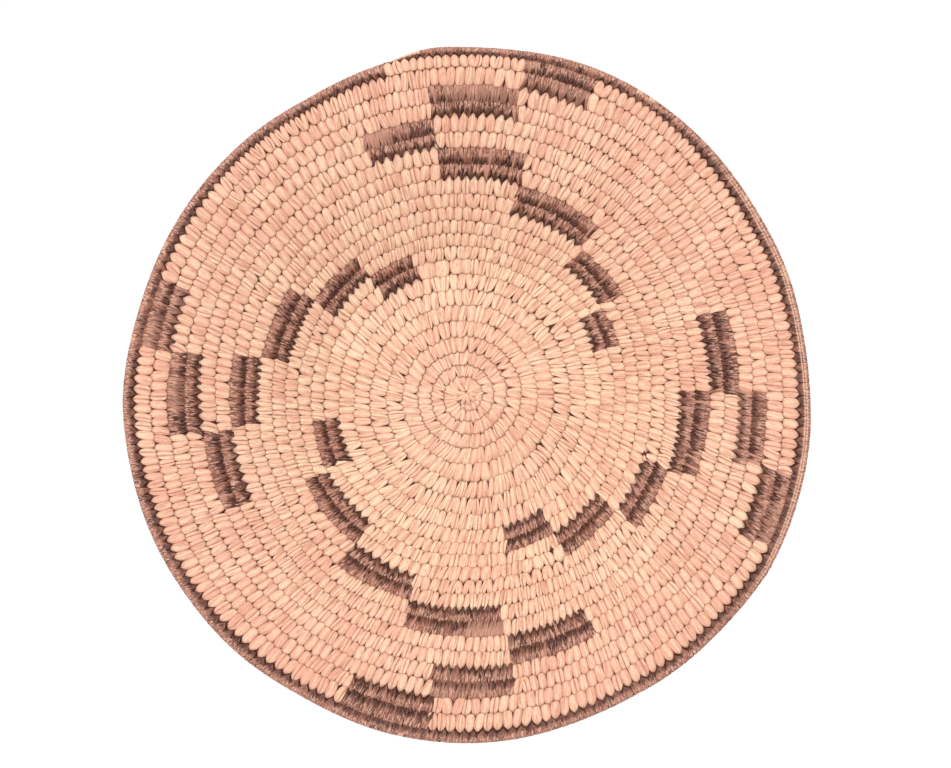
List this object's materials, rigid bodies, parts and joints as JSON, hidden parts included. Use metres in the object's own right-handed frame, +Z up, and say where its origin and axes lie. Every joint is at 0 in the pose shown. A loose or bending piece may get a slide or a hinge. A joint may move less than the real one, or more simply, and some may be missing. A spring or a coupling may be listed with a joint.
{
  "type": "basket bowl",
  "caption": "Shallow round bowl of coiled basketry, sewn in pale splint with a dark stepped whirl and a dark rim.",
  "frame": {"origin": "middle of the starting knot's flat underside, which is the plane the bowl stands on", "axes": "+Z up out of the bowl's mouth; +X to the right and +Y away as seen from above, with the coil's end on the rim at 104 degrees from +X"},
  "size_m": [0.2789, 0.2818, 0.0492],
  "materials": {
    "pale_splint": "matte split stem, warm peach straw",
    "dark_splint": "matte split bark, dark brown",
    "rim_splint": "matte split bark, dark brown, worn",
    "grass_bundle": "dry grass stems",
    "knot_splint": "matte split stem, warm peach straw"
  },
  "bodies": {
    "root": {"dark_run_a1_inner": "dark_splint", "dark_run_a1_outer": "dark_splint", "dark_run_a2_inner": "dark_splint", "dark_run_a2_outer": "dark_splint", "dark_run_a3_inner": "dark_splint", "dark_run_a3_outer": "dark_splint", "dark_run_a4_inner": "dark_splint", "dark_run_a4_outer": "dark_splint", "dark_run_a5_inner": "dark_splint", "dark_run_a5_outer": "dark_splint", "dark_run_a6_inner": "dark_splint", "dark_run_a6_outer": "dark_splint", "dark_run_a7_inner": "dark_splint", "dark_run_a7_outer": "dark_splint", "dark_run_b1_inner": "dark_splint", "dark_run_b1_outer": "dark_splint", "dark_run_b2_inner": "dark_splint", "dark_run_b2_outer": "dark_splint", "dark_run_b3_inner": "dark_splint", "dark_run_b3_outer": "dark_splint", "dark_run_b4_inner": "dark_splint", "dark_run_b4_outer": "dark_splint", "dark_run_b5_inner": "dark_splint", "dark_run_b5_outer": "dark_splint", "dark_run_b6_inner": "dark_splint", "dark_run_b6_outer": "dark_splint", "dark_run_b7_inner": "dark_splint", "dark_run_b7_outer": "dark_splint", "dark_run_c1_inner": "dark_splint", "dark_run_c1_outer": "dark_splint", "dark_run_c2_inner": "dark_splint", "dark_run_c2_outer": "dark_splint", "dark_run_c3_inner": "dark_splint", "dark_run_c3_outer": "dark_splint", "dark_run_c4_inner": "dark_splint", "dark_run_c4_outer": "dark_splint", "dark_run_c5_inner": "dark_splint", "dark_run_c5_outer": "dark_splint", "dark_run_c6_inner": "dark_splint", "dark_run_c6_outer": "dark_splint", "dark_run_c7_inner": "dark_splint", "dark_run_c7_outer": "dark_splint", "dark_run_d1_inner": "dark_splint", "dark_run_d1_outer": "dark_splint", "dark_run_d2_inner": "dark_splint", "dark_run_d2_outer": "dark_splint", "dark_run_d3_inner": "dark_splint", "dark_run_d3_outer": "dark_splint", "dark_run_d4_inner": "dark_splint", "dark_run_d4_outer": "dark_splint", "dark_run_d5_inner": "dark_splint", "dark_run_d5_outer": "dark_splint", "dark_run_d6_inner": "dark_splint", "dark_run_d6_outer": "dark_splint", "dark_run_d7_inner": "dark_splint", "dark_run_d7_outer": "dark_splint", "foundation_bundle": "grass_bundle", "light_stitching": "pale_splint", "rim_stitching": "rim_splint", "starting_knot": "knot_splint"}
  },
  "joints": []
}
